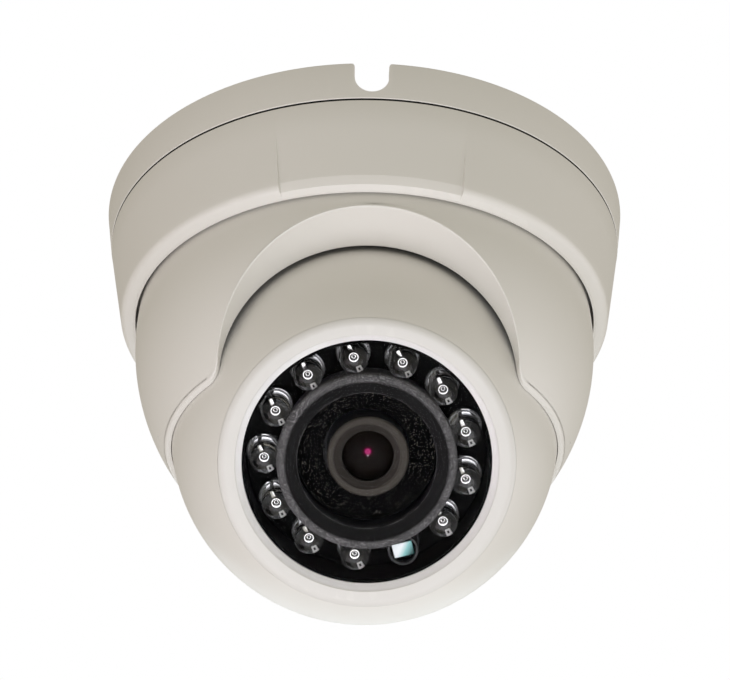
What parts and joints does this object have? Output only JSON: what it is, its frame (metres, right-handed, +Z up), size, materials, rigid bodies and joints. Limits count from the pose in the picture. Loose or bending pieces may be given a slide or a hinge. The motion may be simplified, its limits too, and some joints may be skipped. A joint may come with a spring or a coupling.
{
  "type": "dome camera",
  "caption": "Ceiling dome camera with a turning bowl, a tilting eyeball, a ring of infra-red lamps round a hooded lens and a day and night filter.",
  "frame": {"origin": "centre of the face that meets the ceiling", "axes": "+Z up into the ceiling, -Y towards the side the camera looks at, +X to the right seen from the front"},
  "size_m": [0.0934, 0.0933, 0.0792],
  "materials": {
    "housing": "satin warm white with a very fine grain",
    "bezel": "satin white",
    "black_rubber": "matt black moulded rubber",
    "washer": "matt friction washer",
    "steel": "plain bright screws and pins",
    "black_plastic": "satin black moulded plastic",
    "light_trap": "rough black with fine bright specks",
    "retainer": "plain moulded plastic",
    "window": "clear coated glass",
    "board": "green solder mask",
    "lamp": "clear moulded lamp body with a bright metal cup inside",
    "sensor_face": "glossy pale teal sensor face",
    "lens_ring": "satin brown grey anodised",
    "lens_glass": "dark coated lens glass",
    "filter_glass": "blue green filter glass",
    "clear_filter": "clear filter glass",
    "copper": "enamelled copper winding",
    "image_chip": "ceramic chip under clear glass",
    "heat_sink": "plain finned aluminium",
    "header": "off-white connector plastic"
  },
  "bodies": {
    "base": {"base_dish": "housing", "cable_gland": "black_rubber", "cover_ring": "housing", "lock_screw": "steel", "pan_washer": "washer"},
    "turret": {"turret_bowl": "housing", "tilt_pins": "steel"},
    "eyeball": {"eyeball_front_shell": "housing", "eyeball_rear_shell": "housing", "shell_gasket": "black_rubber", "shell_screws": "steel", "pivot_rings": "black_rubber", "ball_gland": "black_rubber", "module_retainer": "retainer", "retainer_screws": "steel"},
    "camera_module": {"front_bezel": "bezel", "window_glass": "window", "hood_ring": "black_rubber", "light_trap": "light_trap", "led_mask": "black_plastic", "led_board": "board", "light_sensor": "sensor_face", "sensor_sleeve": "black_rubber", "module_frame": "black_plastic", "frame_screws": "steel", "led_board_screws": "steel", "lens_barrel": "black_plastic", "lens_cap_ring": "lens_ring", "front_lens": "lens_glass", "rear_lens": "lens_glass", "lens_lock_nut": "black_plastic", "lens_holder": "black_plastic", "filter_coil": "copper", "image_sensor": "image_chip", "sensor_board": "board", "board_spacers": "steel", "main_board": "board", "board_screws": "steel", "video_processor": "black_plastic", "heat_sink": "heat_sink", "cable_header": "header", "ir_led_01": "lamp", "ir_led_02": "lamp", "ir_led_03": "lamp", "ir_led_04": "lamp", "ir_led_05": "lamp", "ir_led_06": "lamp", "ir_led_07": "lamp", "ir_led_08": "lamp", "ir_led_09": "lamp", "ir_led_10": "lamp", "ir_led_11": "lamp", "ir_led_12": "lamp"},
    "day_night_filter": {"filter_slider": "black_plastic", "filter_glass": "filter_glass", "clear_glass": "clear_filter"}
  },
  "joints": [
    {"name": "pan", "type": "hinge", "parent": "base", "child": "turret", "pos_m": [0, 0, 0], "axis": [0, 0, 1], "range_deg": [-175, 175]},
    {"name": "tilt", "type": "hinge", "parent": "turret", "child": "eyeball", "pos_m": [0, 0, -0.0453], "axis": [-1, 0, 0], "range_deg": [-43, 35]},
    {"name": "image_rotation", "type": "hinge", "parent": "eyeball", "child": "camera_module", "pos_m": [0, 0, -0.0453], "axis": [0, -0.682, -0.7314], "range_deg": [-175, 175]},
    {"name": "filter_slide", "type": "slide", "parent": "camera_module", "child": "day_night_filter", "axis": [-1, 0, 0], "range_m": [0, 0.007]}
  ]
}
